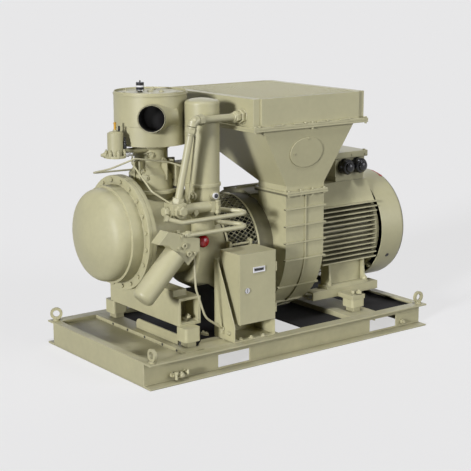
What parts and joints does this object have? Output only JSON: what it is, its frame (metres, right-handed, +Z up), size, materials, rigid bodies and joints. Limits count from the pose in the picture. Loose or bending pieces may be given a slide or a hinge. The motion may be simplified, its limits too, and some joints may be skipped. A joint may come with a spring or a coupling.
{
  "type": "rotary screw air compressor",
  "caption": "Electric rotary screw air compressor on a steel skid, with a coupled motor and fan, an overhead cooler on a funnel duct, oil separator, filters and a small control box.",
  "frame": {"origin": "centre of the bounding box's underside, on the floor; the skid's own centre is 25.5 mm to the right of it", "axes": "+X along the shaft from the separator cover to the motor's fan cowl, +Y away from the viewer of the front with the control box, +Z up"},
  "size_m": [2.117, 1.1, 1.5763],
  "materials": {
    "machine_paint": "satin khaki-beige coat",
    "black_paint": "matt black",
    "black_plastic": "satin",
    "red_plastic": "glossy",
    "white_plastic": "glossy",
    "dark_screen": "glossy with a pale rim",
    "chrome_trim": "polished",
    "brass_fitting": "turned",
    "steel": "turned",
    "core_iron": "rough",
    "aluminium_core": "rough",
    "filter_media": "pleated paper",
    "hose_rubber": "painted over"
  },
  "bodies": {
    "skid_and_machine": {"skid_beam_front": "machine_paint", "skid_beam_rear": "machine_paint", "skid_ends": "machine_paint", "cross_members": "machine_paint", "lifting_eyes": "machine_paint", "machine_mounts": "machine_paint", "vessel_saddle": "machine_paint", "motor_rails": "machine_paint", "motor_frame": "machine_paint", "motor_end_shields": "machine_paint", "motor_stator": "core_iron", "motor_fan_cowl": "machine_paint", "shaft_bearings": "steel", "terminal_box": "machine_paint", "terminal_box_lid": "machine_paint", "cable_glands": "black_plastic", "fan_volute": "machine_paint", "fan_guard": "black_paint", "drive_cover": "machine_paint", "airend_casting": "machine_paint", "vessel_cover": "machine_paint", "flange_bolts": "machine_paint", "separator_element": "filter_media", "intake_housing": "machine_paint", "air_filter_drum": "machine_paint", "air_filter_element": "filter_media", "separator_canister": "machine_paint", "canister_head": "machine_paint", "sight_ring": "white_plastic", "thermostat_block": "machine_paint", "oil_filter_head": "machine_paint", "oil_filter_canister": "machine_paint", "oil_pipes": "machine_paint", "air_pipe": "machine_paint", "cooler_duct": "machine_paint", "duct_cover": "machine_paint", "cooler_frame": "machine_paint", "cooler_core": "aluminium_core", "control_tubes": "machine_paint", "control_hose": "hose_rubber", "drain_hose": "hose_rubber", "control_box": "machine_paint", "control_bracket": "machine_paint", "regulator_body": "machine_paint", "drain_fittings": "steel"},
    "drive_line": {"motor_shaft": "steel", "motor_rotor_core": "core_iron", "motor_cooling_fan": "black_plastic", "coupling": "core_iron", "fan_impeller": "black_paint", "male_rotor": "steel"},
    "driven_rotor": {"female_rotor": "steel"},
    "door": {"control_box_door": "machine_paint", "door_display": "dark_screen"},
    "lock": {"door_lock": "chrome_trim"},
    "intake_valve": {"intake_valve_disc": "steel"},
    "filler_cap": {"oil_filler_cap": "red_plastic"},
    "filter_lid": {"air_filter_lid": "machine_paint", "service_indicator": "black_plastic"},
    "regulator_screw": {"regulator_knob": "brass_fitting"}
  },
  "joints": [
    {"name": "drive_spin", "type": "hinge", "parent": "skid_and_machine", "child": "drive_line", "pos_m": [0.0255, 0, 0.583], "axis": [1, 0, 0], "continuous": true},
    {"name": "driven_spin", "type": "hinge", "parent": "skid_and_machine", "child": "driven_rotor", "pos_m": [-0.6045, 0.152, 0.583], "axis": [1, 0, 0], "continuous": true},
    {"name": "door_hinge", "type": "hinge", "parent": "skid_and_machine", "child": "door", "pos_m": [-0.1105, -0.494, 0.437], "axis": [0, 0, 1], "range_deg": [0, 110]},
    {"name": "lock_turn", "type": "hinge", "parent": "door", "child": "lock", "pos_m": [-0.3205, -0.5, 0.43], "axis": [0, -1, 0], "range_deg": [0, 90]},
    {"name": "valve_lift", "type": "slide", "parent": "skid_and_machine", "child": "intake_valve", "axis": [0, 0, -1], "range_m": [0, 0.022], "stiffness_N_per_m": 2000, "springref_m": -0.02},
    {"name": "cap_off", "type": "slide", "parent": "skid_and_machine", "child": "filler_cap", "axis": [0, -1, 0], "range_m": [0, 0.04]},
    {"name": "lid_lift", "type": "slide", "parent": "skid_and_machine", "child": "filter_lid", "axis": [0, 0, 1], "range_m": [0, 0.25]},
    {"name": "screw_turn", "type": "hinge", "parent": "skid_and_machine", "child": "regulator_screw", "pos_m": [-0.8825, -0.058, 1.308], "axis": [0, 0, 1], "range_deg": [-180, 180]}
  ],
  "couplings": [
    {"joint": "driven_spin", "follows": "drive_spin", "ratio": -0.66667}
  ]
}
